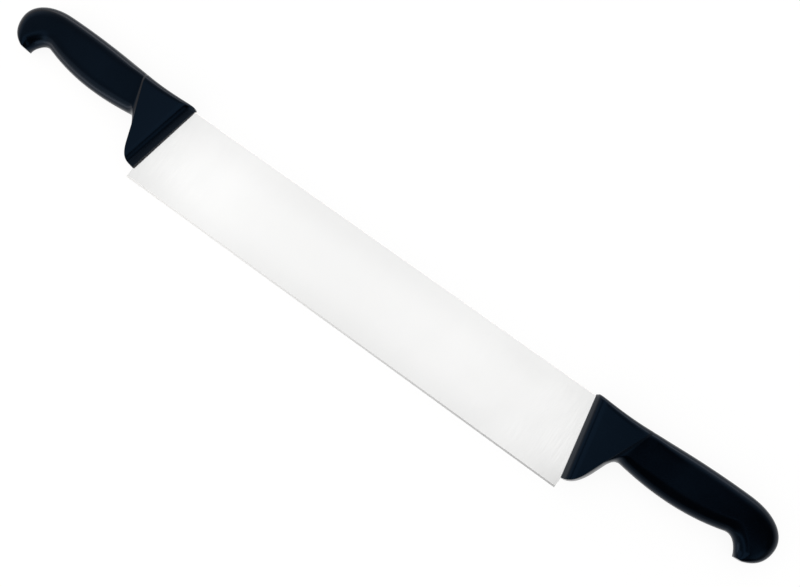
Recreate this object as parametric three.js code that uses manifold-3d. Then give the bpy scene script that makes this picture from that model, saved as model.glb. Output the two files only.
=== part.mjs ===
// Double-handled cheese knife: one ground steel blade with a stub tang at each end,
// and the same plastic handle moulded round both tangs.
// Millimetres. The knife lies on its side: +X along the blade, +Y from edge to spine, +Z up.
import * as THREE from 'three';
import { mergeVertices } from 'three/addons/utils/BufferGeometryUtils.js';
import Module from 'manifold-3d';

// Blade, stamped from one sheet and ground flat from spine to edge
const BLADE_LENGTH = 360;
const BLADE_HEIGHT = 64.5;
const STOCK_THICKNESS = 2.5;
const SHOULDER_THICKNESS = 0.5; // left above the edge bevel
const EDGE_THICKNESS = 0.12;
const EDGE_BEVEL = 1.2;
const SPINE_EASE = 0.35;

// Tang, left at the full thickness of the sheet
const TANG_DROP = 4.5; // from the spine down to the tang
const TANG_HEIGHT = 16;
const TANG_ROOT = 4; // reach back over the ground blade, inside the guard
const TANG_FILLET = 3;
const TANG_END_COVER = 42; // plastic beyond the tang's end
const TANG_HOLE = 8;
const TANG_HOLE_COUNT = 3;
const TANG_FIRST_HOLE = 20; // beyond the blade's end
const TANG_LAST_HOLE = 18; // short of the tang's end

// Handle, measured out from the blade's end and up or down from its spine
const MOULD_GAP = 0.3; // between the steel and the plastic round it
const HANDLE_THICKNESS = 21;
const TIP_THICKNESS = 14;
const SEAM_FLAT = 0.8; // width of the flat along the back, where the mould halves meet
const EDGE_LIMIT = 0.45; // share of a section's height that one rounded edge may take

// Guard: flat cheeks with a slanted front that laps over the blade's end
const GUARD_LAP = 11.9; // at the spine
const TOE_LAP = 0.2; // at the guard's lower end
const GUARD_RISE = 2; // front corner above the spine
const DIP_REACH = 14; // where the tangents of the guard's dipped back meet
const DIP_RISE = 0.4;
const HEEL_SHOW = 7.5; // blade left bare below the guard
const HEEL_REACH = 15.4; // back of the guard, above its rounded heel
const HEEL_HEIGHT = 15.5;
const FLANK_RUN = 3.2; // slope of the guard's lower sides, from the cheek's edge out to the parting line
const FLANK_POWER = 1.6; // 1 for an elliptical flank, 2 for a straight one
const TOE_FLANK = 1.2; // the same slope at the guard's lower end
const CHEEK_HEEL_HEIGHT = 11; // top of the heel's rounding along the cheek's edge
const LIP_THICKNESS = 6.5; // front of the guard, blade and all
const LIP_RUN = 4.6; // behind the front, where its slope would meet the cheek
const LIP_FLAT = 0.65; // share of that slope left flat
const LIP_LENGTH = 8.5; // where the rounding above the slope ends
const GUARD_EDGE = 2.5; // rounding of the front corner, along the front and along the back
const GUARD_CORNER_RUN = 5;
const CHEEK_EDGE = 4.5; // edges along the back

// Ridge between the guard's cheek and the grip
const RIDGE_TOP = 30;
const RIDGE_RISE = 1.85;
const RIDGE_FOOT = 18.3;
const RIDGE_FOOT_DROP = 34;
const RIDGE_EDGE = 7; // rounding of the back at the ridge
const RIDGE_STEP = 1.2;
const RIDGE_RUN = 2; // along the back
const NOTCH_RUN = 4; // along the underside, round the notch

// Grip: arched back and belly
const NECK_REACH = 26.5;
const NECK_DROP = 27.6;
const NECK_EDGE = 8;
const GRIP_THICKNESS = 17;
const GRIP_EDGE = 11;
const GRIP_BLEND = 0.45; // share of the grip over which the neck turns into this
const BACK_END = 104;
const BACK_RISE = 4.7;
const BACK_CLIMB = 0.085; // slopes of the back where it leaves the ridge and where it ends
const BACK_FALL = 0.02;
const BELLY_FALL = 0.14; // slopes of the belly where it leaves the neck and where it meets the hook
const BELLY_CLIMB = 0.3;

// Pommel, with the hook that keeps the hand in
const HOOK_REACH = 101.8;
const HOOK_DROP = 23.4;
const HOOK_CORNER_REACH = 109.7; // where the hook's two inner tangents meet
const POMMEL_REACH = 134;
const POMMEL_DROP = 15.2; // of its outermost point
const POMMEL_FULLNESS = 0.59;
const POMMEL_CORNER_DROP = 28.6; // where its two lower tangents meet
const POMMEL_EDGE = 9.6;
const POMMEL_BLEND = 0.5; // share of the hook over which the grip's rounding turns into this
const TIP_REACH = 115.2; // inner corner of the hook's tip
const TIP_DROP = 33.5;
const TIP_WIDTH = 5.6;
const TIP_LIFT = 0.3; // outer corner of the tip above the inner one
const TIP_ROUND = 1.5;

// Facets
const CORNER_STEPS = 6;
const LIP_STEPS = 4;
const CHEEK_STEPS = 10;
const RIDGE_STEPS = 3;
const GRIP_STEPS = 22;
const HOOK_STEPS = 20;
const TIP_STEPS = 3;
const HOLE_STEPS = 12;

const wasm = await Module();
wasm.setup();

function solidOf(geometry) {
  const bare = geometry.clone();
  bare.deleteAttribute('normal');
  bare.deleteAttribute('uv');
  const merged = mergeVertices(bare);
  return new wasm.Manifold(
    new wasm.Mesh({
      numProp: 3,
      vertProperties: merged.attributes.position.array,
      triVerts: new Uint32Array(merged.index.array),
    }),
  );
}

function geometryOf(solid) {
  const mesh = solid.getMesh();
  const geometry = new THREE.BufferGeometry();
  geometry.setAttribute('position', new THREE.BufferAttribute(mesh.vertProperties, 3));
  geometry.setIndex(new THREE.BufferAttribute(mesh.triVerts, 1));
  geometry.computeVertexNormals();
  return geometry;
}

const mix = THREE.MathUtils.lerp;
const ease = (t) => THREE.MathUtils.smoothstep(t, 0, 1);
const point = (x, y) => new THREE.Vector2(x, y);
const line = (from, to) => new THREE.LineCurve(from, to);
const round = (from, corner, to) => new THREE.QuadraticBezierCurve(from, corner, to);
const bend = (from, leave, arrive, to) => new THREE.CubicBezierCurve(from, leave, arrive, to);

function path(...curves) {
  const joined = new THREE.CurvePath();
  curves.forEach((curve) => joined.add(curve));
  return joined;
}

// The blade between two places along it, without tangs, grown all round by a clearance
function groundBlade(start, end, clearance) {
  const spine = STOCK_THICKNESS / 2 + clearance;
  const side = [
    point(clearance, spine - SPINE_EASE),
    point(clearance - SPINE_EASE, spine),
    point(EDGE_BEVEL - BLADE_HEIGHT, SHOULDER_THICKNESS / 2 + clearance),
    point(-BLADE_HEIGHT - clearance, EDGE_THICKNESS / 2 + clearance),
  ];
  const otherSide = side.map((p) => point(p.x, -p.y)).reverse();
  const section = new THREE.Shape([...side, ...otherSide]);
  const geometry = new THREE.ExtrudeGeometry(section, { depth: end - start, bevelEnabled: false });
  const up = new THREE.Vector3(0, 1, 0);
  const across = new THREE.Vector3(0, 0, 1);
  const forward = new THREE.Vector3(1, 0, 0);
  geometry.applyMatrix4(new THREE.Matrix4().makeBasis(up, across, forward));
  geometry.translate(start, 0, 0);
  return solidOf(geometry);
}

// A tang beyond a blade end at x = 0, grown by a clearance that also narrows its holes
function tang(clearance) {
  const top = clearance - TANG_DROP;
  const foot = -clearance - TANG_DROP - TANG_HEIGHT;
  const middle = (top + foot) / 2;
  const length = POMMEL_REACH - TANG_END_COVER;
  const nose = length - TANG_HEIGHT / 2;
  const neck = clearance + TANG_FILLET;
  const outline = new THREE.Shape();
  outline.moveTo(-TANG_ROOT, foot - TANG_FILLET);
  outline.lineTo(clearance, foot - TANG_FILLET);
  outline.quadraticCurveTo(clearance, foot, neck, foot);
  outline.lineTo(nose, foot);
  outline.absarc(nose, middle, (top - foot) / 2, -Math.PI / 2, Math.PI / 2);
  outline.lineTo(neck, top);
  outline.quadraticCurveTo(clearance, top, clearance, top + TANG_FILLET);
  outline.lineTo(-TANG_ROOT, top + TANG_FILLET);
  for (let i = 0; i < TANG_HOLE_COUNT; i++) {
    const place = mix(TANG_FIRST_HOLE, length - TANG_LAST_HOLE, i / (TANG_HOLE_COUNT - 1));
    const hole = new THREE.Path();
    hole.absarc(place, middle, TANG_HOLE / 2 - clearance, 0, 2 * Math.PI);
    outline.holes.push(hole);
  }
  const depth = STOCK_THICKNESS + 2 * clearance;
  const options = { depth, bevelEnabled: false, curveSegments: HOLE_STEPS };
  const geometry = new THREE.ExtrudeGeometry(outline, options);
  geometry.translate(0, 0, -depth / 2);
  return solidOf(geometry);
}

function bladeGeometry() {
  const end = BLADE_LENGTH / 2;
  const right = tang(0).translate([end, 0, 0]);
  const left = tang(0).rotate([0, 180, 0]).translate([-end, 0, 0]);
  return geometryOf(groundBlade(-end, end, 0).add(right).add(left));
}

// The handle's side outline is two rails, one along its back and one along its underside.
// Each rail has three spans: guard, grip and hook.
const toe = point(-TOE_LAP, HEEL_SHOW - BLADE_HEIGHT);
const heel = point(HEEL_REACH, toe.y + HEEL_HEIGHT);
const ridgeTop = point(RIDGE_TOP, RIDGE_RISE);
const ridgeFoot = point(RIDGE_FOOT, -RIDGE_FOOT_DROP);
const neck = point(NECK_REACH, -NECK_DROP);
const backEnd = point(BACK_END, BACK_RISE);
const hookStart = point(HOOK_REACH, -HOOK_DROP);
const pommelEnd = point(POMMEL_REACH, -POMMEL_DROP);
const tip = point(TIP_REACH, -TIP_DROP);
const tipBack = point(TIP_REACH + TIP_WIDTH, TIP_LIFT - TIP_DROP);

// The guard's slanted front, at a height above the spine
function guardFront(height) {
  return point(mix(-GUARD_LAP, toe.x, height / toe.y), height);
}

// The guard's straight back, at a height above the spine
function guardBack(height) {
  return point(mix(heel.x, ridgeFoot.x, (height - heel.y) / (ridgeFoot.y - heel.y)), height);
}

// From a point along a slope
function onSlope(from, run, slope) {
  return point(from.x + run, from.y + run * slope);
}

function backRail() {
  const corner = guardFront(GUARD_RISE);
  const dip = point(DIP_REACH, DIP_RISE);
  const cornerEnd = corner.clone().lerp(dip, GUARD_CORNER_RUN / corner.distanceTo(dip));
  const guard = path(
    round(guardFront(GUARD_RISE - GUARD_EDGE), corner, cornerEnd),
    round(cornerEnd, dip, ridgeTop),
  );
  const third = (BACK_END - RIDGE_TOP) / 3;
  const grip = path(
    bend(ridgeTop, onSlope(ridgeTop, third, BACK_CLIMB), onSlope(backEnd, -third, -BACK_FALL), backEnd),
  );
  const hook = path(
    bend(
      backEnd,
      onSlope(backEnd, (POMMEL_REACH - BACK_END) * POMMEL_FULLNESS, -BACK_FALL),
      point(POMMEL_REACH, mix(pommelEnd.y, backEnd.y, POMMEL_FULLNESS)),
      pommelEnd,
    ),
    round(pommelEnd, point(POMMEL_REACH, -POMMEL_CORNER_DROP), tipBack),
  );
  return [guard, grip, hook];
}

// From the crest of the guard's lower sides in to the edge of its cheek
function flank() {
  const along = ridgeFoot.clone().sub(heel).normalize();
  return point(-along.y, along.x).multiplyScalar(FLANK_RUN);
}

// The edge of the guard's cheek, above its lower sides
function cheekRail() {
  const start = guardFront(toe.y + TOE_FLANK);
  const corner = guardBack(start.y - flank().y).add(flank());
  const end = guardBack(toe.y + CHEEK_HEEL_HEIGHT).add(flank());
  return path(round(start, corner, end), line(end, ridgeFoot.clone().add(flank())));
}

function undersideRail() {
  const guard = path(round(toe, guardBack(toe.y), heel), line(heel, ridgeFoot));
  const third = (HOOK_REACH - NECK_REACH) / 3;
  const notch = guardBack(onSlope(neck, RIDGE_FOOT - NECK_REACH, -BELLY_FALL).y);
  const grip = path(
    round(ridgeFoot, notch, neck),
    bend(neck, onSlope(neck, third, -BELLY_FALL), onSlope(hookStart, -third, BELLY_CLIMB), hookStart),
  );
  const hook = path(
    round(hookStart, onSlope(hookStart, HOOK_CORNER_REACH - HOOK_REACH, BELLY_CLIMB), tip),
  );
  return [guard, grip, hook];
}

// Half the thickness where an edge of some radius still rounds off, at a depth behind the end face
function roundedHalf(full, radius, depth) {
  const rest = radius - Math.min(depth, radius);
  return full - radius + Math.sqrt(radius * radius - rest * rest);
}

const evenSteps = (from, to, steps) =>
  Array.from({ length: steps }, (_, i) => mix(from, to, (i + 1) / steps));
const roundSteps = (depth, steps) =>
  Array.from({ length: steps }, (_, i) => depth * (1 - Math.cos((i / steps) * (Math.PI / 2))));
const quarterTurn = [0, ...evenSteps(0, Math.PI / 2, CORNER_STEPS)];

// The guard's lip in section: distance behind the front, and half the thickness there
function lipProfile() {
  const foot = point(0, LIP_THICKNESS / 2);
  const corner = point(LIP_RUN, HANDLE_THICKNESS / 2);
  const end = point(LIP_LENGTH, HANDLE_THICKNESS / 2);
  const bendStart = foot.clone().lerp(corner, LIP_FLAT);
  return [foot, ...round(bendStart, corner, end).getPoints(LIP_STEPS)];
}

// Where the rounding of one narrow side begins on a section's flat side
function roundingStart(far, near, edge) {
  return near.clone().lerp(far, Math.min(edge / near.distanceTo(far), EDGE_LIMIT));
}

// The stations of the loft: where each one meets the rails, where its underside's rounding starts,
// its half thickness, the rounding of its back, and how far its underside is from elliptical
function handleStations() {
  const [backGuard, backGrip, backHook] = backRail();
  const [underGuard, underGrip, underHook] = undersideRail();
  const cheekEdge = cheekRail();
  const half = HANDLE_THICKNESS / 2;
  const neckHalf = half - RIDGE_STEP;
  const gripHalf = GRIP_THICKNESS / 2;
  const tipHalf = TIP_THICKNESS / 2;

  const lip = lipProfile().map((place) => {
    const share = place.x / underGuard.getLength();
    const under = underGuard.getPoint(share);
    return {
      back: backGuard.getPoint(place.x / backGuard.getLength()),
      under,
      inner: under.clone().lerp(cheekEdge.getPoint(share), place.y / half),
      half: place.y,
      backEdge: CHEEK_EDGE,
      power: FLANK_POWER,
    };
  });

  const cheek = evenSteps(0, 1, CHEEK_STEPS).map((t) => {
    const share = mix(LIP_LENGTH / underGuard.getLength(), 1, t);
    return {
      back: backGuard.getPoint(mix(LIP_LENGTH / backGuard.getLength(), 1, t)),
      under: underGuard.getPoint(share),
      inner: cheekEdge.getPoint(share),
      half,
      backEdge: mix(CHEEK_EDGE, RIDGE_EDGE, t),
      power: FLANK_POWER,
    };
  });

  const backRidge = RIDGE_RUN / backGrip.getLength();
  const underRidge = NOTCH_RUN / underGrip.getLength();
  const ridge = evenSteps(0, 1, RIDGE_STEPS).map((t) => {
    const back = backGrip.getPoint(t * backRidge);
    const under = underGrip.getPoint(t * underRidge);
    const inner = under.clone().add(flank()).lerp(roundingStart(back, under, NECK_EDGE), t);
    const power = mix(FLANK_POWER, 1, t);
    return { back, under, inner, half: mix(half, neckHalf, t), backEdge: RIDGE_EDGE, power };
  });

  const grip = evenSteps(0, 1, GRIP_STEPS).map((t) => {
    const full = ease(t / GRIP_BLEND);
    const fall = (1 - Math.min(1, t / GRIP_BLEND)) ** 2;
    const back = backGrip.getPoint(mix(backRidge, 1, t));
    const under = underGrip.getPoint(mix(underRidge, 1, t));
    const inner = roundingStart(back, under, mix(NECK_EDGE, GRIP_EDGE, full));
    const backEdge = mix(RIDGE_EDGE, GRIP_EDGE, full);
    return { back, under, inner, half: mix(gripHalf, neckHalf, fall), backEdge, power: 1 };
  });

  const hookLength = backHook.getLength();
  const tipSteps = roundSteps(TIP_ROUND, TIP_STEPS).map((depth) => 1 - depth / hookLength);
  const hookSteps = evenSteps(0, 1 - TIP_ROUND / hookLength, HOOK_STEPS);
  const hook = [...hookSteps, ...tipSteps.reverse()].map((t) => {
    const back = backHook.getPoint(t);
    const under = underHook.getPoint(t);
    const edge = mix(GRIP_EDGE, POMMEL_EDGE, ease(t / POMMEL_BLEND));
    const rounded = roundedHalf(mix(gripHalf, tipHalf, t * t), TIP_ROUND, (1 - t) * hookLength);
    const inner = roundingStart(back, under, edge);
    return { back, under, inner, half: rounded, backEdge: edge, power: 1 };
  });
  return [...lip, ...cheek, ...ridge, ...grip, ...hook];
}

// Ring of points round a station: flat sides, an elliptical back, and an underside shaped by its power
function stationRing({ back, under, inner, half, backEdge, power }) {
  const outer = roundingStart(under, back, backEdge);
  const underInset = half - SEAM_FLAT / 2;
  const backInset = Math.min(backEdge, underInset);
  const corner = (from, to, inset, shape, side) =>
    quarterTurn.map((turn) => {
      const place = from.clone().lerp(to, Math.sin(turn) ** shape);
      const across = half - inset + inset * Math.abs(Math.cos(turn)) ** shape;
      return new THREE.Vector3(place.x, place.y, side * across);
    });
  return [
    ...corner(outer, back, backInset, 1, 1),
    ...corner(outer, back, backInset, 1, -1).reverse(),
    ...corner(inner, under, underInset, power, -1),
    ...corner(inner, under, underInset, power, 1).reverse(),
  ];
}

// Closed skin through rings of equal count, with a fan over each end
function loft(rings) {
  const count = rings[0].length;
  const centre = (ring) => ring.reduce((sum, p) => sum.add(p), new THREE.Vector3()).divideScalar(count);
  const points = [...rings.flat(), centre(rings[0]), centre(rings.at(-1))];
  const firstCentre = points.length - 2;
  const lastCentre = points.length - 1;
  const lastRing = (rings.length - 1) * count;
  const faces = [];
  for (let j = 0; j < count; j++) {
    const next = (j + 1) % count;
    for (let i = 0; i < lastRing; i += count) {
      faces.push(i + j, i + count + next, i + next);
      faces.push(i + j, i + count + j, i + count + next);
    }
    faces.push(firstCentre, j, next);
    faces.push(lastCentre, lastRing + next, lastRing + j);
  }
  const geometry = new THREE.BufferGeometry().setFromPoints(points);
  geometry.setIndex(faces);
  return geometry;
}

// The moulding, with the space the steel takes cut out. The plastic fills the tang's holes as pegs.
function handleGeometry() {
  const body = solidOf(loft(handleStations().map(stationRing)));
  const slot = groundBlade(-2 * GUARD_LAP, MOULD_GAP, MOULD_GAP);
  return geometryOf(body.subtract(slot.add(tang(MOULD_GAP))));
}

const steel = new THREE.MeshStandardMaterial({ color: 0xd9dadb, roughness: 0.32, metalness: 1 });
const plastic = new THREE.MeshStandardMaterial({ color: 0x0d131c, roughness: 0.5, metalness: 0 });

const blade = new THREE.Mesh(bladeGeometry(), steel);
blade.name = 'blade';

const rightHandle = new THREE.Mesh(handleGeometry(), plastic);
rightHandle.name = 'right_handle';
rightHandle.position.x = BLADE_LENGTH / 2;

const leftHandle = new THREE.Mesh(rightHandle.geometry, plastic);
leftHandle.name = 'left_handle';
leftHandle.rotation.y = Math.PI;
leftHandle.position.x = -BLADE_LENGTH / 2;

// The origin is the middle of the knife's outline, on the surface it lies on
const laid = new THREE.Group();
laid.add(blade, leftHandle, rightHandle);
const box = new THREE.Box3().setFromObject(laid);
laid.position.set(-(box.min.x + box.max.x) / 2, -(box.min.y + box.max.y) / 2, -box.min.z);

const knife = new THREE.Group();
knife.add(laid);
export default knife;
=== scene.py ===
# Double-handled cheese knife: the looks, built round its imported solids.
# Metres, in the solids' frame: +X along the blade, +Y from edge to spine, +Z up. It lies on a floor.
import bisect
import functools
import math

import bmesh
import bpy
from mathutils import Matrix, Vector


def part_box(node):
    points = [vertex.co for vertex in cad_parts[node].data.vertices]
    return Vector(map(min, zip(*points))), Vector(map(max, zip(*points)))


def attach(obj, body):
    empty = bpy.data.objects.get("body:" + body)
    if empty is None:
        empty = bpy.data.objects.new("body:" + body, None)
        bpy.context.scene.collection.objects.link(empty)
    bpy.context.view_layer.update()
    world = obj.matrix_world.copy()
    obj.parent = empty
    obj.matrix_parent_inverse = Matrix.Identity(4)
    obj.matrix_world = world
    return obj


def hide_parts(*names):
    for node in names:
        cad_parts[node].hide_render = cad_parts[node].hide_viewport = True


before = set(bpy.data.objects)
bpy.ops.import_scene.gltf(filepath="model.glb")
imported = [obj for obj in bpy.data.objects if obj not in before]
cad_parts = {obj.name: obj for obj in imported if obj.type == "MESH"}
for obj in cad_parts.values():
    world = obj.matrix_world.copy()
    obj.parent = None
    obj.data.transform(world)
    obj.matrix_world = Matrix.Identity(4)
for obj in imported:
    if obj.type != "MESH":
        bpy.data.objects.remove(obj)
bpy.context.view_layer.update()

MM = 0.001
BODY = "root"

# Handle in millimetres, measured out from the blade's end and up or down from its spine
HANDLE_THICKNESS = 21
TIP_THICKNESS = 14
SEAM_FLAT = 0.8  # least width of the flat where the mould halves meet
EDGE_LIMIT = 0.45  # share of a section's height that one rounded edge may take

# Guard: flat cheeks with a slanted front that laps over the blade's end
GUARD_LAP = 11.9  # at the spine
TOE_LAP = 0.2  # at the guard's lower end
GUARD_RISE = 2  # front corner above the spine
DIP_REACH = 14  # where the tangents of the guard's dipped back meet
DIP_RISE = 0.4
BLADE_HEIGHT = 64.5
HEEL_SHOW = 7.5  # blade left bare below the guard
HEEL_REACH = 15.4  # back of the guard, above its rounded heel
HEEL_HEIGHT = 15.5
FLANK_RUN = 2.6  # slope of the guard's lower sides, from the cheek's edge out to the parting line
TOE_FLANK = 0.5  # the same slope at the guard's lower end
CHEEK_HEEL_HEIGHT = 11  # top of the heel's rounding along the cheek's edge
FLANK_POWER = 1.6  # 1 for an elliptical flank, 2 for a straight one
LIP_THICKNESS = 5  # front of the guard, blade and all
LIP_RUN = 3.9  # behind the front, where its slope would meet the cheek
LIP_FLAT = 0.62  # share of that slope left flat
LIP_LENGTH = 8.5  # where the rounding above the slope ends
GUARD_EDGE = 1.3  # rounding of the front corner, along the front and along the back
GUARD_CORNER_RUN = 2.6
CHEEK_EDGE = 4.5  # edges along the back

# Ridge between the guard's cheek and the grip
RIDGE_TOP = 30
RIDGE_RISE = 1.85
RIDGE_FOOT = 18.3
RIDGE_FOOT_DROP = 34
RIDGE_EDGE = 7  # rounding of the back at the ridge
RIDGE_STEP = 1.2
RIDGE_RUN = 2  # along the back
NOTCH_RUN = 4  # along the underside, round the notch

# Grip: arched back and belly
NECK_REACH = 26.5
NECK_DROP = 27.6
NECK_EDGE = 8
GRIP_THICKNESS = 17
GRIP_EDGE = 11
GRIP_BLEND = 0.45  # share of the grip over which the neck turns into this
BACK_END = 104
BACK_RISE = 4.7
BACK_CLIMB = 0.085  # slopes of the back where it leaves the ridge and where it ends
BACK_FALL = 0.02
BELLY_FALL = 0.14  # slopes of the belly where it leaves the neck and where it meets the hook
BELLY_CLIMB = 0.3

# Pommel, with the hook that keeps the hand in
HOOK_REACH = 101.8
HOOK_DROP = 23.4
HOOK_CORNER_REACH = 109.7  # where the hook's two inner tangents meet
POMMEL_REACH = 134
POMMEL_DROP = 15.2  # of its outermost point
POMMEL_FULLNESS = 0.59
POMMEL_CORNER_DROP = 28.6  # where its two lower tangents meet
POMMEL_EDGE = 9.6
POMMEL_BLEND = 0.5  # share of the hook over which the grip's rounding turns into this
TIP_REACH = 115.2  # inner corner of the hook's tip
TIP_DROP = 33.5
TIP_WIDTH = 5.6
TIP_LIFT = 0.3  # outer corner of the tip above the inner one
TIP_ROUND = 1.5

# Witness line where the mould halves met
SEAM_HALF_WIDTH = 0.22
SEAM_HEIGHT = 0.09

# Fineness of the handle's skin
CURVE_STEPS = 64
CORNER_STEPS = 12
LIP_STEPS = 8
CHEEK_STEPS = 26
RIDGE_STEPS = 8
GRIP_STEPS = 64
HOOK_STEPS = 56
TIP_STEPS = 6
QUARTER_TURN = [i / CORNER_STEPS * math.pi / 2 for i in range(CORNER_STEPS + 1)]
SHARP_ANGLE = math.radians(18)
MERGE_DISTANCE = 0.001 * MM

# Finishes. A noise is its scale per metre, its detail and its roughness.
# A fade is two limits of what it follows and the level at each.
WHITE = (1.0, 1.0, 1.0, 1.0)

# Black polypropylene
PLASTIC_DARK = (0.0005, 0.0008, 0.0016, 1.0)
PLASTIC_LIGHT = (0.0007, 0.0011, 0.0020, 1.0)
PLASTIC_TINT = (0.235, 0.53, 1.0, 1.0)
PLASTIC_SPECULAR = 0.20
PLASTIC_CLOUD = (35, 3, 0.5)
PLASTIC_GRAIN = (2600, 2, 0.6)
CLOUD_ROUGHNESS = (0.35, 0.65, 0.185, 0.225)
GRAIN_ROUGHNESS = (0.3, 0.7, -0.03, 0.03)
GRAIN_STRENGTH = 0.10
GRAIN_DEPTH = 0.00006

# Satin steel, with painted sheen: its colour is brightest along its middle and on the edge bevel
STEEL_DULL = (0.885, 0.885, 0.88, 1.0)
STEEL_BRIGHT = (0.955, 0.955, 0.95, 1.0)
STEEL_LINES = (2400, 3, 0.65)
LINE_STRETCH = (1.0, 0.03, 1.0)
STEEL_BANDS = (260, 3, 0.55)
BAND_STRETCH = (1.0, 0.12, 1.0)
BAND_SHARE = 0.2
STEEL_CLOUD = (14, 2, 0.5)
SHEEN_PAINT_DROP = 0.004  # painted sheen's brightest line, below the middle of the knife
SHEEN_PAINT_FADE = (0.008, 0.034, 0.8, 0.0)
STEEL_ROUGHNESS = (0.3, 0.7, 0.16, 0.20)
LINE_ROUGHNESS = (0.3, 0.7, -0.015, 0.015)
LINE_STRENGTH = 0.02
LINE_DEPTH = 0.00002
BEVEL_HEIGHT = 0.0012
BEVEL_ROUGHNESS = 0.33

# Floor
FLOOR_REACH = 8
FLOOR_GREY = (0.85, 0.85, 0.85, 1.0)
SHADOW_GREY = (0.12, 0.12, 0.12, 1.0)
FLOOR_GLOW = 0.9

# Studio seen in the gloss. A fade follows a part of the direction (across, along, up)
# or one of its slopes: aside is across by up, back is along by up, turn is along by across.
GUARD_FADE = (-0.48, -0.41, 0.68, 1.0)
GRIP_FADE = (-0.60, -0.46, 0.45, 1.0)
LEFT_LIFT = (-0.40, -0.28, 1.18, 1.0)
RIGHT_LIFT = (-0.20, 0.05, 1.0, 1.10)
DARK_SIDE = (0.082, 0.130, 1.0, 0.02)
FRONT_SHADE = (-0.30, -0.04, 0.92, 0.0)
FRONT_START = (-0.36, -0.12, 0.10, 1.0)
CEILING_LEVEL = 0.98
WALL_COLOUR = (1.2, 1.0, 0.86, 1.0)
WARM_TOP = (0.20, 0.34, 1.0, 0.0)
REAR_TURN = (0.45, 0.90, 0.0, 1.0)
REAR_END = (0.10, 0.45, 1.0, 0.35)
REAR_LEVEL = (0.03, 0.33, 3.9, 0.90)
REAR_TOP = (0.40, 0.75, 1.0, 0.15)
LEFT_TURN = (-0.80, -0.45, 1.0, 0.0)
LEFT_END = (-0.50, -0.20, 0.1, 1.0)
LEFT_TOP = (-0.78, -0.64, 1.0, 0.0)
STRIP_TOP = (0.18, 0.32, 0.0, 1.0)
STRIP_LOW = (0.25, 0.40, 0.20, 0.35)
STRIP_HIGH = (0.48, 0.62, 0.0, 0.82)
STRIP_FRONT = (-0.45, -0.34, 0.0, 1.0)
STRIP_REAR = (-0.12, -0.04, 1.0, 0.0)
CORNER_LEVEL = (0.10, 0.32, 0.95, 0.0)
CORNER_TURN = (-0.10, 0.30, 0.0, 1.0)
CORNER_END = (-0.10, 0.20, 0.0, 1.0)
SKIRTING = (0.25, 0.52, 0.50, 0.0)
LEAST_RISE = 0.02  # keeps the slopes finite near the horizon
PLAIN_LEVEL = 0.85
WHITE_LEVEL = 1.0

# Cards standing before the left handle, each with its foot, top and radiance
CARD_LEFT = -0.95
CARD_RIGHT = -0.31
HOOK_CARD_RIGHT = -0.04
CARD_PLACE = -0.40
LOW_CARD = (0.0, 0.13, 2.3)
HIGH_CARD = (0.13, 0.55, 0.75)
HOOK_CARD = (0.0, 0.24, 1.6)

# Screens further out, told in the same way, which light the steel alone where the studio is dark
SCREEN_FRONT = -1.3
SCREEN_BACK = 1.6
SCREEN_SIDE = 1.6
SCREEN_LEFT = -2.4
SCREEN = (0.55, 3.4, 0.6)
BACK_SCREEN = (0.8, 3.4, 0.6)

# Camera
LENS = 49.5
SENSOR = 36
CLIP_START = 0.01
CAMERA_PLACE = Vector((0.1343, -0.0475, 0.7380))
CAMERA_AIM = Vector((0.02394, 0.00974, 0.0105))
CAMERA_UP = Vector((-0.5740, 0.8049, 0.1504))

# Sockets of a Mix node go by number: share, first, second and result
NUMBER_MIX = (0, 2, 3, 0)
COLOUR_MIX = (0, 6, 7, 2)


def mix(a, b, share):
    return a + (b - a) * share


def ease(share):
    """A smooth step from 0 to 1."""
    share = min(1.0, max(0.0, share))
    return share * share * (3 - 2 * share)


def point(x, y):
    return Vector((x, y))


def on_slope(start, run, slope):
    return point(start.x + run, start.y + run * slope)


def curve(*controls, steps=CURVE_STEPS):
    """Points along a Bezier curve through two, three or four controls."""
    points = []
    for i in range(steps + 1):
        level = list(controls)
        while len(level) > 1:
            level = [a.lerp(b, i / steps) for a, b in zip(level, level[1:])]
        points.append(level[0])
    return points


class Rail:
    """Curves end to end, read by share of their length."""

    def __init__(self, *curves):
        self.points = [p for points in curves for p in points]
        self.reach = [0.0]
        for a, b in zip(self.points, self.points[1:]):
            self.reach.append(self.reach[-1] + (b - a).length)
        self.length = self.reach[-1]

    def at(self, share):
        goal = min(1.0, max(0.0, share)) * self.length
        i = max(1, bisect.bisect_left(self.reach, goal))
        i = min(i, len(self.reach) - 1)
        step = self.reach[i] - self.reach[i - 1]
        part = (goal - self.reach[i - 1]) / step if step else 0.0
        return self.points[i - 1].lerp(self.points[i], part)


# Corners of the handle's side outline
toe = point(-TOE_LAP, HEEL_SHOW - BLADE_HEIGHT)
heel = point(HEEL_REACH, toe.y + HEEL_HEIGHT)
ridge_top = point(RIDGE_TOP, RIDGE_RISE)
ridge_foot = point(RIDGE_FOOT, -RIDGE_FOOT_DROP)
neck = point(NECK_REACH, -NECK_DROP)
back_end = point(BACK_END, BACK_RISE)
hook_start = point(HOOK_REACH, -HOOK_DROP)
pommel_end = point(POMMEL_REACH, -POMMEL_DROP)
tip = point(TIP_REACH, -TIP_DROP)
tip_back = point(TIP_REACH + TIP_WIDTH, TIP_LIFT - TIP_DROP)


def guard_front(height):
    """The guard's slanted front at a height."""
    return point(mix(-GUARD_LAP, toe.x, height / toe.y), height)


def guard_back(height):
    """The straight line behind the guard's lower end, at a height."""
    return point(mix(heel.x, ridge_foot.x, (height - heel.y) / (ridge_foot.y - heel.y)), height)


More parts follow.
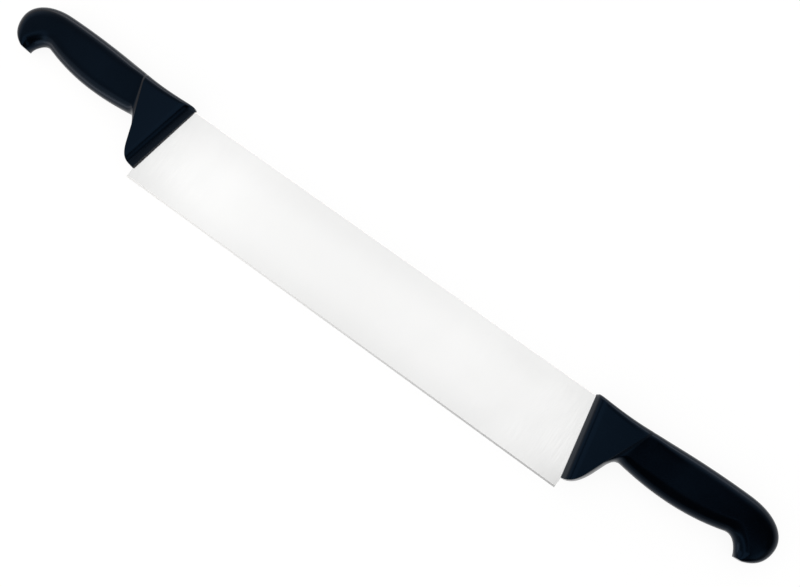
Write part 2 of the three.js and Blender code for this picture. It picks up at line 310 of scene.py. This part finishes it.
def back_rails():
    """The back of the guard, the grip and the hook."""
    corner = guard_front(GUARD_RISE)
    dip = point(DIP_REACH, DIP_RISE)
    corner_end = corner.lerp(dip, GUARD_CORNER_RUN / (dip - corner).length)
    guard = Rail(
        curve(guard_front(GUARD_RISE - GUARD_EDGE), corner, corner_end),
        curve(corner_end, dip, ridge_top),
    )
    third = (BACK_END - RIDGE_TOP) / 3
    leave = on_slope(ridge_top, third, BACK_CLIMB)
    arrive = on_slope(back_end, -third, -BACK_FALL)
    grip = Rail(curve(ridge_top, leave, arrive, back_end))
    over = on_slope(back_end, (POMMEL_REACH - BACK_END) * POMMEL_FULLNESS, -BACK_FALL)
    down = point(POMMEL_REACH, mix(pommel_end.y, back_end.y, POMMEL_FULLNESS))
    lower_corner = point(POMMEL_REACH, -POMMEL_CORNER_DROP)
    hook = Rail(curve(back_end, over, down, pommel_end), curve(pommel_end, lower_corner, tip_back))
    return guard, grip, hook


def flank():
    """From the crest of the guard's lower sides in to the edge of its cheek."""
    along = (ridge_foot - heel).normalized()
    return point(-along.y, along.x) * FLANK_RUN


def cheek_rail():
    """The edge of the guard's cheek, above its lower sides."""
    start = guard_front(toe.y + TOE_FLANK)
    corner = guard_back(start.y - flank().y) + flank()
    end = guard_back(toe.y + CHEEK_HEEL_HEIGHT) + flank()
    return Rail(curve(start, corner, end), curve(end, ridge_foot + flank()))


def under_rails():
    """The underside of the guard, the grip and the hook."""
    guard = Rail(curve(toe, guard_back(toe.y), heel), curve(heel, ridge_foot))
    third = (HOOK_REACH - NECK_REACH) / 3
    notch = guard_back(on_slope(neck, RIDGE_FOOT - NECK_REACH, -BELLY_FALL).y)
    leave = on_slope(neck, third, -BELLY_FALL)
    arrive = on_slope(hook_start, -third, BELLY_CLIMB)
    grip = Rail(curve(ridge_foot, notch, neck), curve(neck, leave, arrive, hook_start))
    inner = on_slope(hook_start, HOOK_CORNER_REACH - HOOK_REACH, BELLY_CLIMB)
    hook = Rail(curve(hook_start, inner, tip))
    return guard, grip, hook


def rounded_half(full, radius, behind):
    """Half the thickness at a place behind an end face whose edges are rounded."""
    rest = radius - min(behind, radius)
    return full - radius + math.sqrt(radius * radius - rest * rest)


def even_steps(start, end, steps):
    return [mix(start, end, (i + 1) / steps) for i in range(steps)]


def round_steps(depth, steps):
    """Distances from an end face that follow its rounding evenly."""
    return [depth * (1 - math.cos(i / steps * math.pi / 2)) for i in range(steps)]


def lip_profile():
    """The guard's lip in section: distance behind the front, and half the thickness there."""
    foot = point(0, LIP_THICKNESS / 2)
    corner = point(LIP_RUN, HANDLE_THICKNESS / 2)
    end = point(LIP_LENGTH, HANDLE_THICKNESS / 2)
    return [foot] + curve(foot.lerp(corner, LIP_FLAT), corner, end, steps=LIP_STEPS)


def rounding_start(back, under, edge):
    """Where the rounding of the underside begins on a section's side."""
    return under.lerp(back, min(edge / (back - under).length, EDGE_LIMIT))


# A station is the back, the underside, the lower edge of the side, half the thickness,
# the rounding of the back and the power of the underside's rounding.
def guard_stations(back, under):
    full = HANDLE_THICKNESS / 2
    cheek = cheek_rail()
    for behind, half in lip_profile():
        share = behind / under.length
        low = under.at(share)
        inner = low.lerp(cheek.at(share), half / full)
        yield back.at(behind / back.length), low, inner, half, CHEEK_EDGE, FLANK_POWER
    back_lip = LIP_LENGTH / back.length
    under_lip = LIP_LENGTH / under.length
    for t in even_steps(0, 1, CHEEK_STEPS):
        share = mix(under_lip, 1, t)
        high = back.at(mix(back_lip, 1, t))
        yield high, under.at(share), cheek.at(share), full, mix(CHEEK_EDGE, RIDGE_EDGE, t), FLANK_POWER


def grip_stations(back, under):
    neck_half = HANDLE_THICKNESS / 2 - RIDGE_STEP
    back_ridge = RIDGE_RUN / back.length
    under_ridge = NOTCH_RUN / under.length
    for t in even_steps(0, 1, RIDGE_STEPS):
        high, low = back.at(t * back_ridge), under.at(t * under_ridge)
        inner = (low + flank()).lerp(rounding_start(high, low, NECK_EDGE), t)
        yield high, low, inner, neck_half + (1 - t) * RIDGE_STEP, RIDGE_EDGE, mix(FLANK_POWER, 1, t)
    for t in even_steps(0, 1, GRIP_STEPS):
        full = ease(t / GRIP_BLEND)
        fall = (1 - min(1, t / GRIP_BLEND)) ** 2
        half = mix(GRIP_THICKNESS / 2, neck_half, fall)
        high, low = back.at(mix(back_ridge, 1, t)), under.at(mix(under_ridge, 1, t))
        inner = rounding_start(high, low, mix(NECK_EDGE, GRIP_EDGE, full))
        yield high, low, inner, half, mix(RIDGE_EDGE, GRIP_EDGE, full), 1


def hook_stations(back, under):
    end = 1 - TIP_ROUND / back.length
    shares = even_steps(0, end, HOOK_STEPS)
    shares += [1 - depth / back.length for depth in reversed(round_steps(TIP_ROUND, TIP_STEPS))]
    for t in shares:
        full = mix(GRIP_THICKNESS / 2, TIP_THICKNESS / 2, t * t)
        half = rounded_half(full, TIP_ROUND, (1 - t) * back.length)
        edge = mix(GRIP_EDGE, POMMEL_EDGE, ease(t / POMMEL_BLEND))
        high, low = back.at(t), under.at(t)
        yield high, low, rounding_start(high, low, edge), half, edge, 1


def station_ring(back, under, inner, half, back_edge, power):
    """Flat sides, an elliptical back, an underside by its power, and the witness line on both of these."""
    outer = rounding_start(under, back, back_edge)
    under_inset = half - SEAM_FLAT / 2
    back_inset = min(back_edge, under_inset)
    lift = (back - under).normalized() * SEAM_HEIGHT
    ring = []

    def add(place, across):
        ring.append(Vector((place.x, place.y, across)))

    def corner(start, end, inset, power, side):
        for turn in QUARTER_TURN:
            place = start.lerp(end, math.sin(turn) ** power)
            yield place, side * (half - inset + inset * math.cos(turn) ** power)

    def narrow_side(start, end, raised, inset, power, side):
        for spot in corner(start, end, inset, power, side):
            add(*spot)
        add(end, side * SEAM_HALF_WIDTH)
        add(raised, 0.0)
        add(end, -side * SEAM_HALF_WIDTH)
        for spot in reversed(list(corner(start, end, inset, power, -side))):
            add(*spot)

    narrow_side(outer, back, back + lift, back_inset, 1, 1)
    narrow_side(inner, under, under - lift, under_inset, power, -1)
    return ring


def link(thing):
    bpy.context.scene.collection.objects.link(thing)
    return thing


def add_object(name, mesh):
    """Puts a finished mesh in the scene."""
    data = bpy.data.meshes.new(name)
    mesh.to_mesh(data)
    mesh.free()
    return link(bpy.data.objects.new(name, data))


def loft(name, rings, place):
    """A closed skin through rings of equal count."""
    mesh = bmesh.new()
    rows = [[mesh.verts.new(place @ (p * MM)) for p in ring] for ring in rings]
    count = len(rows[0])
    for row, next_row in zip(rows, rows[1:]):
        for j in range(count):
            k = (j + 1) % count
            mesh.faces.new((row[j], next_row[j], next_row[k], row[k]))
    mesh.faces.new(rows[0])
    mesh.faces.new(reversed(rows[-1]))
    bmesh.ops.recalc_face_normals(mesh, faces=mesh.faces)
    return add_object(name, mesh)


def merged_copy(node):
    """A closed copy of a solid, to cut with."""
    mesh = bmesh.new()
    mesh.from_mesh(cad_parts[node].data)
    bmesh.ops.remove_doubles(mesh, verts=mesh.verts, dist=MERGE_DISTANCE)
    return add_object(node + "_cutter", mesh)


def cut(piece, cutter):
    """Takes the cutter's space out of a piece."""
    modifier = piece.modifiers.new("cut", "BOOLEAN")
    modifier.object = cutter
    modifier.solver = "EXACT"
    modifier.operation = "DIFFERENCE"
    graph = bpy.context.evaluated_depsgraph_get()
    data = bpy.data.meshes.new_from_object(piece.evaluated_get(graph))
    piece.modifiers.clear()
    piece.data = data


def shade(piece):
    """Smooth shading, broken at real edges."""
    mesh = bmesh.new()
    mesh.from_mesh(piece.data)
    for face in mesh.faces:
        face.smooth = True
    for edge in mesh.edges:
        edge.smooth = len(edge.link_faces) == 2 and edge.calc_face_angle() < SHARP_ANGLE
    mesh.to_mesh(piece.data)
    mesh.free()


def make_handle(name, node, place, cutter, material):
    """One handle's fine skin, with the blade's slot cut in it, in place of its solid."""
    makers = (guard_stations, grip_stations, hook_stations)
    rails = zip(makers, back_rails(), under_rails())
    stations = [station for make, back, under in rails for station in make(back, under)]
    piece = loft(name, [station_ring(*station) for station in stations], place)
    cut(piece, cutter)
    shade(piece)
    piece.data.materials.clear()
    piece.data.materials.append(material)
    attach(piece, BODY)
    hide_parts(node)


class Nodes:
    """A node tree with short ways to add and join nodes."""

    def __init__(self, tree):
        self.tree = tree
        tree.nodes.clear()

    def add(self, kind, **settings):
        node = self.tree.nodes.new(kind)
        for key, value in settings.items():
            setattr(node, key, value)
        return node

    def put(self, socket, value):
        if isinstance(value, bpy.types.NodeSocket):
            self.tree.links.new(value, socket)
        else:
            socket.default_value = value

    def feed(self, node, **values):
        for key, value in values.items():
            self.put(node.inputs[key.replace("_", " ")], value)
        return node

    def join(self, kind, *values, **settings):
        node = self.add(kind, **settings)
        for socket, value in zip(node.inputs, values):
            self.put(socket, value)
        return node.outputs[0]

    def show(self, kind, surface):
        self.feed(self.add(kind), Surface=surface)

    def noise(self, vector, scale, detail, roughness):
        node = self.add("ShaderNodeTexNoise")
        self.feed(node, Vector=vector, Scale=scale, Detail=detail, Roughness=roughness)
        return node.outputs["Fac"]

    def stretched(self, vector, scale):
        return self.feed(self.add("ShaderNodeMapping"), Vector=vector, Scale=scale).outputs["Vector"]

    def remap(self, value, low, high, to_low, to_high):
        values = (value, low, high, to_low, to_high)
        return self.join("ShaderNodeMapRange", *values, interpolation_type="SMOOTHSTEP")

    def math(self, operation, *values):
        return self.join("ShaderNodeMath", *values, operation=operation)

    def fold(self, operation, values):
        return functools.reduce(lambda one, other: self.math(operation, one, other), values)

    def fades(self, *pairs):
        return self.fold("MULTIPLY", [self.remap(value, *limits) for value, limits in pairs])

    def blend(self, kind, sockets, values):
        node = self.add("ShaderNodeMix", data_type=kind)
        *inputs, result = sockets
        for index, value in zip(inputs, values):
            self.put(node.inputs[index], value)
        return node.outputs[result]

    def choose(self, share, first, second):
        return self.blend("FLOAT", NUMBER_MIX, (share, first, second))

    def tint(self, share, first, second):
        return self.blend("RGBA", COLOUR_MIX, (share, first, second))

    def bump(self, height, strength, distance):
        node = self.add("ShaderNodeBump")
        return self.feed(node, Height=height, Strength=strength, Distance=distance).outputs["Normal"]


def new_material(name):
    material = bpy.data.materials.new(name)
    material.use_nodes = True
    return material, Nodes(material.node_tree)


def solid_material(name):
    """A material with one shader, and its nodes, the shader and the place on the object."""
    material, nodes = new_material(name)
    shader = nodes.add("ShaderNodeBsdfPrincipled")
    nodes.show("ShaderNodeOutputMaterial", shader.outputs["BSDF"])
    place = nodes.add("ShaderNodeTexCoord").outputs["Object"]
    return material, nodes, shader, place


def plastic():
    """Black polypropylene with a fine spark-eroded skin, a little polished by hands."""
    material, nodes, shader, place = solid_material("black_polypropylene")
    cloud = nodes.noise(place, *PLASTIC_CLOUD)
    grain = nodes.noise(place, *PLASTIC_GRAIN)
    colour = nodes.tint(cloud, PLASTIC_DARK, PLASTIC_LIGHT)
    wear = nodes.remap(cloud, *CLOUD_ROUGHNESS)
    rough = nodes.math("ADD", wear, nodes.remap(grain, *GRAIN_ROUGHNESS))
    nodes.feed(shader, Base_Color=colour, Roughness=rough)
    nodes.feed(shader, Specular_IOR_Level=PLASTIC_SPECULAR, Specular_Tint=PLASTIC_TINT)
    nodes.feed(shader, Normal=nodes.bump(grain, GRAIN_STRENGTH, GRAIN_DEPTH))
    return material


def steel(edge):
    """Satin ground stainless, with fine grinding lines from spine to edge and a bevel finished by honing. Its
    colour is lightened along the middle as a painted sheen and on the bevel as a painted highlight.
    """
    material, nodes, shader, place = solid_material("satin_steel")
    lines = nodes.noise(nodes.stretched(place, LINE_STRETCH), *STEEL_LINES)
    bands = nodes.noise(nodes.stretched(place, BAND_STRETCH), *STEEL_BANDS)
    cloud = nodes.noise(place, *STEEL_CLOUD)
    split = nodes.feed(nodes.add("ShaderNodeSeparateXYZ"), Vector=place)
    height = split.outputs["Y"]
    # Painted sheen: the colour is brightest along a line just below the middle and fades towards spine and
    # edge; the grinding bands add real random tone on top
    off_middle = nodes.math("ABSOLUTE", nodes.math("ADD", height, SHEEN_PAINT_DROP))
    painted_sheen_and_bands = nodes.remap(off_middle, *SHEEN_PAINT_FADE)
    painted_sheen_and_bands = nodes.math("ADD", painted_sheen_and_bands, nodes.math("MULTIPLY", bands, BAND_SHARE))
    # The edge bevel is rougher, and its colour is raised to the brightest steel as a painted highlight
    bevel_with_painted_highlight = nodes.math("LESS_THAN", height, edge + BEVEL_HEIGHT)
    painted_sheen_and_bands = nodes.math("MAXIMUM", painted_sheen_and_bands, bevel_with_painted_highlight)
    colour = nodes.tint(painted_sheen_and_bands, STEEL_DULL, STEEL_BRIGHT)
    ground = nodes.remap(cloud, *STEEL_ROUGHNESS)
    rough = nodes.math("ADD", ground, nodes.remap(lines, *LINE_ROUGHNESS))
    rough = nodes.choose(bevel_with_painted_highlight, rough, BEVEL_ROUGHNESS)
    nodes.feed(shader, Base_Color=colour, Roughness=rough, Metallic=1.0)
    nodes.feed(shader, Normal=nodes.bump(lines, LINE_STRENGTH, LINE_DEPTH))
    return material


def pale_floor():
    """White to the eye and in gloss, but for the shadow, and plain pale grey to other light."""
    material, nodes = new_material("pale_floor")
    paths = nodes.add("ShaderNodeLightPath").outputs
    seen = nodes.fold("MAXIMUM", [paths[f"Is {kind} Ray"] for kind in ("Camera", "Glossy", "Transmission")])
    plain = nodes.join("ShaderNodeBsdfDiffuse", FLOOR_GREY)
    shadow = nodes.join("ShaderNodeBsdfDiffuse", SHADOW_GREY)
    glow = nodes.join("ShaderNodeEmission", WHITE, FLOOR_GLOW)
    white = nodes.join("ShaderNodeAddShader", shadow, glow)
    nodes.show("ShaderNodeOutputMaterial", nodes.join("ShaderNodeMixShader", seen, plain, white))
    return material


def make_floor():
    mesh = bmesh.new()
    bmesh.ops.create_grid(mesh, x_segments=1, y_segments=1, size=FLOOR_REACH)
    floor = add_object("floor", mesh)
    floor.data.materials.append(pale_floor())


def studio(nodes):
    """Level and colour of the ceiling, a strip of light to the right, the walls and a low band round them."""
    place = nodes.add("ShaderNodeTexCoord").outputs["Generated"]
    split = nodes.feed(nodes.add("ShaderNodeSeparateXYZ"), Vector=place)
    across, along = split.outputs["X"], split.outputs["Y"]
    up = nodes.math("MAXIMUM", split.outputs["Z"], LEAST_RISE)
    aside = nodes.math("DIVIDE", across, up)
    back = nodes.math("DIVIDE", along, up)
    turn = nodes.math("DIVIDE", along, nodes.math("MAXIMUM", across, LEAST_RISE))
    shadow = nodes.fades((back, FRONT_SHADE), (aside, FRONT_START))
    sides = (GUARD_FADE, GRIP_FADE, LEFT_LIFT, RIGHT_LIFT, DARK_SIDE)
    ceiling = nodes.fades(*((aside, side) for side in sides))
    ceiling = nodes.math("MULTIPLY", ceiling, nodes.math("SUBTRACT", CEILING_LEVEL, shadow))
    strip_place = nodes.fades((aside, STRIP_TOP), (turn, STRIP_FRONT), (turn, STRIP_REAR))
    strip_level = nodes.math("MAXIMUM", nodes.remap(up, *STRIP_LOW), nodes.remap(up, *STRIP_HIGH))
    strip = nodes.math("MULTIPLY", strip_place, strip_level)
    off_strip = nodes.math("SUBTRACT", 1.0, strip_place)
    walls = nodes.fold("MAXIMUM", (
        nodes.fades((along, REAR_TURN), (across, REAR_END), (up, REAR_LEVEL), (up, REAR_TOP)),
        nodes.fades((across, LEFT_TURN), (along, LEFT_END), (aside, LEFT_TOP)),
        nodes.fades((up, CORNER_LEVEL), (along, CORNER_TURN), (across, CORNER_END)),
        nodes.math("MULTIPLY", nodes.remap(up, *SKIRTING), off_strip),
    ))
    above = nodes.math("MAXIMUM", ceiling, strip)
    warm = nodes.math("GREATER_THAN", walls, above)
    warm = nodes.math("MULTIPLY", warm, nodes.remap(up, *WARM_TOP))
    return nodes.math("MAXIMUM", above, walls), nodes.tint(warm, WHITE, WALL_COLOUR)


def make_world():
    """White to the eye, an even level for matt surfaces, and the studio for gloss."""
    world = bpy.data.worlds.new("studio")
    bpy.context.scene.world = world
    world.use_nodes = True
    nodes = Nodes(world.node_tree)
    level, colour = studio(nodes)
    paths = nodes.add("ShaderNodeLightPath").outputs
    level = nodes.choose(paths["Is Diffuse Ray"], level, PLAIN_LEVEL)
    level = nodes.choose(paths["Is Camera Ray"], level, WHITE_LEVEL)
    plain = nodes.math("MAXIMUM", paths["Is Camera Ray"], paths["Is Diffuse Ray"])
    colour = nodes.tint(plain, colour, WHITE)
    background = nodes.feed(nodes.add("ShaderNodeBackground"), Color=colour, Strength=level)
    nodes.show("ShaderNodeOutputWorld", background.outputs[0])


def make_card(name, start, end, foot, top, radiance, colour=WHITE, only=None):
    """A soft upright lamp of an even brightness, between two places on the floor, shining to its left."""
    run = Vector(end) - Vector(start)
    middle = (Vector(start) + Vector(end)) / 2
    lamp = bpy.data.lights.new(name, "AREA")
    lamp.shape = "RECTANGLE"
    lamp.size = run.length
    lamp.size_y = top - foot
    lamp.energy = radiance * math.pi * lamp.size * lamp.size_y
    lamp.color = colour[:3]
    holder = bpy.data.objects.new(name, lamp)
    holder.location = (middle.x, middle.y, (foot + top) / 2)
    holder.rotation_euler = (math.pi / 2, 0, math.atan2(run.y, run.x))
    holder.visible_camera = False
    if only:
        holder.light_linking.receiver_collection = only
    link(holder)


def make_lamps():
    left, right, hook = ((x, CARD_PLACE) for x in (CARD_LEFT, CARD_RIGHT, HOOK_CARD_RIGHT))
    make_card("low_card", left, right, *LOW_CARD, WALL_COLOUR)
    make_card("high_card", left, right, *HIGH_CARD, WALL_COLOUR)
    make_card("hook_card", right, hook, *HOOK_CARD, WALL_COLOUR)
    steel_only = bpy.data.collections.new("steel_only")
    steel_only.objects.link(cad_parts["blade"])
    front_left, front_right = ((x, SCREEN_FRONT) for x in (SCREEN_LEFT, SCREEN_SIDE))
    back_right, back_middle = ((x, SCREEN_BACK) for x in (SCREEN_SIDE, 0.0))
    make_card("front_screen", front_left, front_right, *SCREEN, only=steel_only)
    make_card("right_screen", front_right, back_right, *SCREEN, only=steel_only)
    make_card("back_screen", back_right, back_middle, *BACK_SCREEN, only=steel_only)


def make_camera():
    camera = bpy.data.cameras.new("camera")
    camera.lens = LENS
    camera.sensor_width = SENSOR
    camera.clip_start = CLIP_START
    forward = (CAMERA_AIM - CAMERA_PLACE).normalized()
    right = forward.cross(CAMERA_UP).normalized()
    up = right.cross(forward)
    turned = Matrix((right, up, -forward)).transposed().to_4x4()
    holder = bpy.data.objects.new("camera", camera)
    holder.matrix_world = Matrix.Translation(CAMERA_PLACE) @ turned
    bpy.context.scene.camera = link(holder)


def make_knife():
    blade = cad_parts["blade"]
    blade_low, blade_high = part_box("blade")
    middle = (blade_low.z + blade_high.z) / 2
    blade_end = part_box("right_handle")[1].x - POMMEL_REACH * MM
    black = plastic()
    cutter = merged_copy("blade")
    right = Matrix.Translation((blade_end, blade_high.y, middle))
    left = Matrix.Translation((-blade_end, blade_high.y, middle)) @ Matrix.Rotation(math.pi, 4, "Y")
    make_handle("right_grip", "right_handle", right, cutter, black)
    make_handle("left_grip", "left_handle", left, cutter, black)
    bpy.data.objects.remove(cutter)
    blade.data.materials.clear()
    blade.data.materials.append(steel(blade_low.y))


bpy.context.scene.view_settings.view_transform = "Standard"
make_camera()
make_floor()
make_world()
make_lamps()
make_knife()
